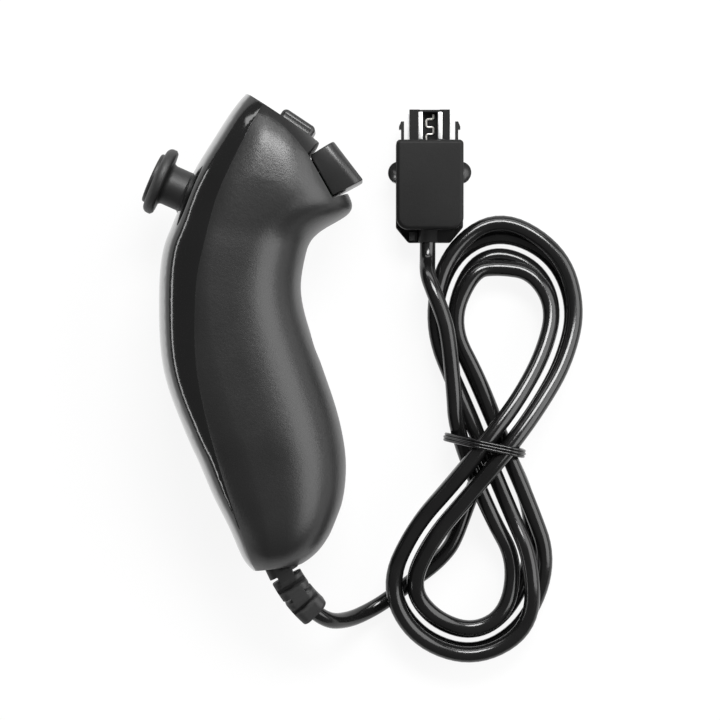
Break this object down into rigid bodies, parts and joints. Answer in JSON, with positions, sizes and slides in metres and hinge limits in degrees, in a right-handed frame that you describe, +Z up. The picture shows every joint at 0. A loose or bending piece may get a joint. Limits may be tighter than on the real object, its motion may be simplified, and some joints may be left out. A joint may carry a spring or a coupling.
{
  "type": "motion controller wand",
  "caption": "Hand-held controller wand with a thumb stick, a small button and a trigger, on a tied cord with a latching plug.",
  "frame": {"origin": "on the surface that the wand lies on, under the middle of the wand's own box (without its cord)", "axes": "+Y from the wand's tail to its head, +X towards the trigger's side and the cord, +Z up out of the flank that the wand doesn't lie on"},
  "size_m": [0.1045, 0.1349, 0.038],
  "materials": {
    "gloss_shell": "gloss black",
    "matte_shell": "fine-grained matte black",
    "bezel": "matte black",
    "button_plastic": "satin black",
    "stick_plastic": "matte black, soft to the touch",
    "relief_rubber": "matte black",
    "cord_skin": "satin black",
    "tie_plastic": "satin black",
    "plug_shell": "matte black",
    "tongue": "matte black",
    "strip_metal": "bright",
    "contact_metal": "bright",
    "dark_plastic": "matte black",
    "steel": "plain",
    "white_plastic": "plain",
    "board": "green lacquer",
    "chip": "matte black",
    "aluminium_can": "plain",
    "dome_rubber": "translucent grey"
  },
  "bodies": {
    "casing_and_cord": {"front_shell": "gloss_shell", "rear_shell": "matte_shell", "button_bezel": "bezel", "shell_screws": "steel", "stick_housing": "steel", "potentiometers": "dark_plastic", "return_disc": "white_plastic", "centring_spring": "steel", "main_board": "board", "board_screws": "steel", "controller_chip": "chip", "motion_sensor_chip": "chip", "capacitors": "aluminium_can", "board_connector": "white_plastic", "wire_harness": "cord_skin", "c_switch_board": "board", "c_dome": "dome_rubber", "z_switch_board": "board", "z_dome": "dome_rubber", "trigger_pin": "steel", "strain_relief": "relief_rubber", "cord_lead": "cord_skin", "cord_hank": "cord_skin", "cord_tie": "tie_plastic", "cord_tail": "cord_skin", "plug_upper_shell": "plug_shell", "plug_lower_shell": "plug_shell", "plug_tongue": "tongue", "plug_contacts": "contact_metal", "shield_strips": "strip_metal", "latch_pins": "steel", "latch_springs": "steel", "plug_hook": "dark_plastic", "plug_boot": "relief_rubber"},
    "gimbal_ring": {"stick_ring": "white_plastic"},
    "thumb_stick": {"stick_cap": "stick_plastic", "stick_dome": "stick_plastic", "stick_shaft": "white_plastic", "stick_cross_pin": "steel"},
    "reading_arm": {"slot_arm": "white_plastic"},
    "small_button": {"c_button": "button_plastic"},
    "trigger": {"z_trigger": "button_plastic"},
    "left_latch": {"latch_left": "plug_shell"},
    "right_latch": {"latch_right": "plug_shell"}
  },
  "joints": [
    {"name": "stick_ring_hinge", "type": "hinge", "parent": "casing_and_cord", "child": "gimbal_ring", "pos_m": [-0.00946, 0.03038, 0.019], "axis": [0, 0, 1], "range_deg": [-14, 14], "stiffness_Nm_per_rad": 0.05},
    {"name": "stick_hinge", "type": "hinge", "parent": "gimbal_ring", "child": "thumb_stick", "pos_m": [-0.00946, 0.03038, 0.019], "axis": [0.4067, 0.9135, 0], "range_deg": [-14, 14], "stiffness_Nm_per_rad": 0.05},
    {"name": "reading_arm_hinge", "type": "hinge", "parent": "casing_and_cord", "child": "reading_arm", "pos_m": [-0.00946, 0.03038, 0.019], "axis": [0.4067, 0.9135, 0], "range_deg": [-14, 14]},
    {"name": "small_button_press", "type": "slide", "parent": "casing_and_cord", "child": "small_button", "axis": [-0.5536, -0.8328, 0], "range_m": [0, 0.0008], "stiffness_N_per_m": 400},
    {"name": "trigger_hinge", "type": "hinge", "parent": "casing_and_cord", "child": "trigger", "pos_m": [0.01734, 0.03973, 0.019], "axis": [0, 0, -1], "range_deg": [0, 8], "stiffness_Nm_per_rad": 0.2},
    {"name": "left_latch_hinge", "type": "hinge", "parent": "casing_and_cord", "child": "left_latch", "pos_m": [0.03705, 0.0274, 0.006], "axis": [0, 0, -1], "range_deg": [0, 2], "stiffness_Nm_per_rad": 0.2},
    {"name": "right_latch_hinge", "type": "hinge", "parent": "casing_and_cord", "child": "right_latch", "pos_m": [0.04785, 0.0274, 0.006], "axis": [0, 0, 1], "range_deg": [0, 2], "stiffness_Nm_per_rad": 0.2}
  ],
  "couplings": [
    {"joint": "reading_arm_hinge", "follows": "stick_hinge", "ratio": 1}
  ]
}
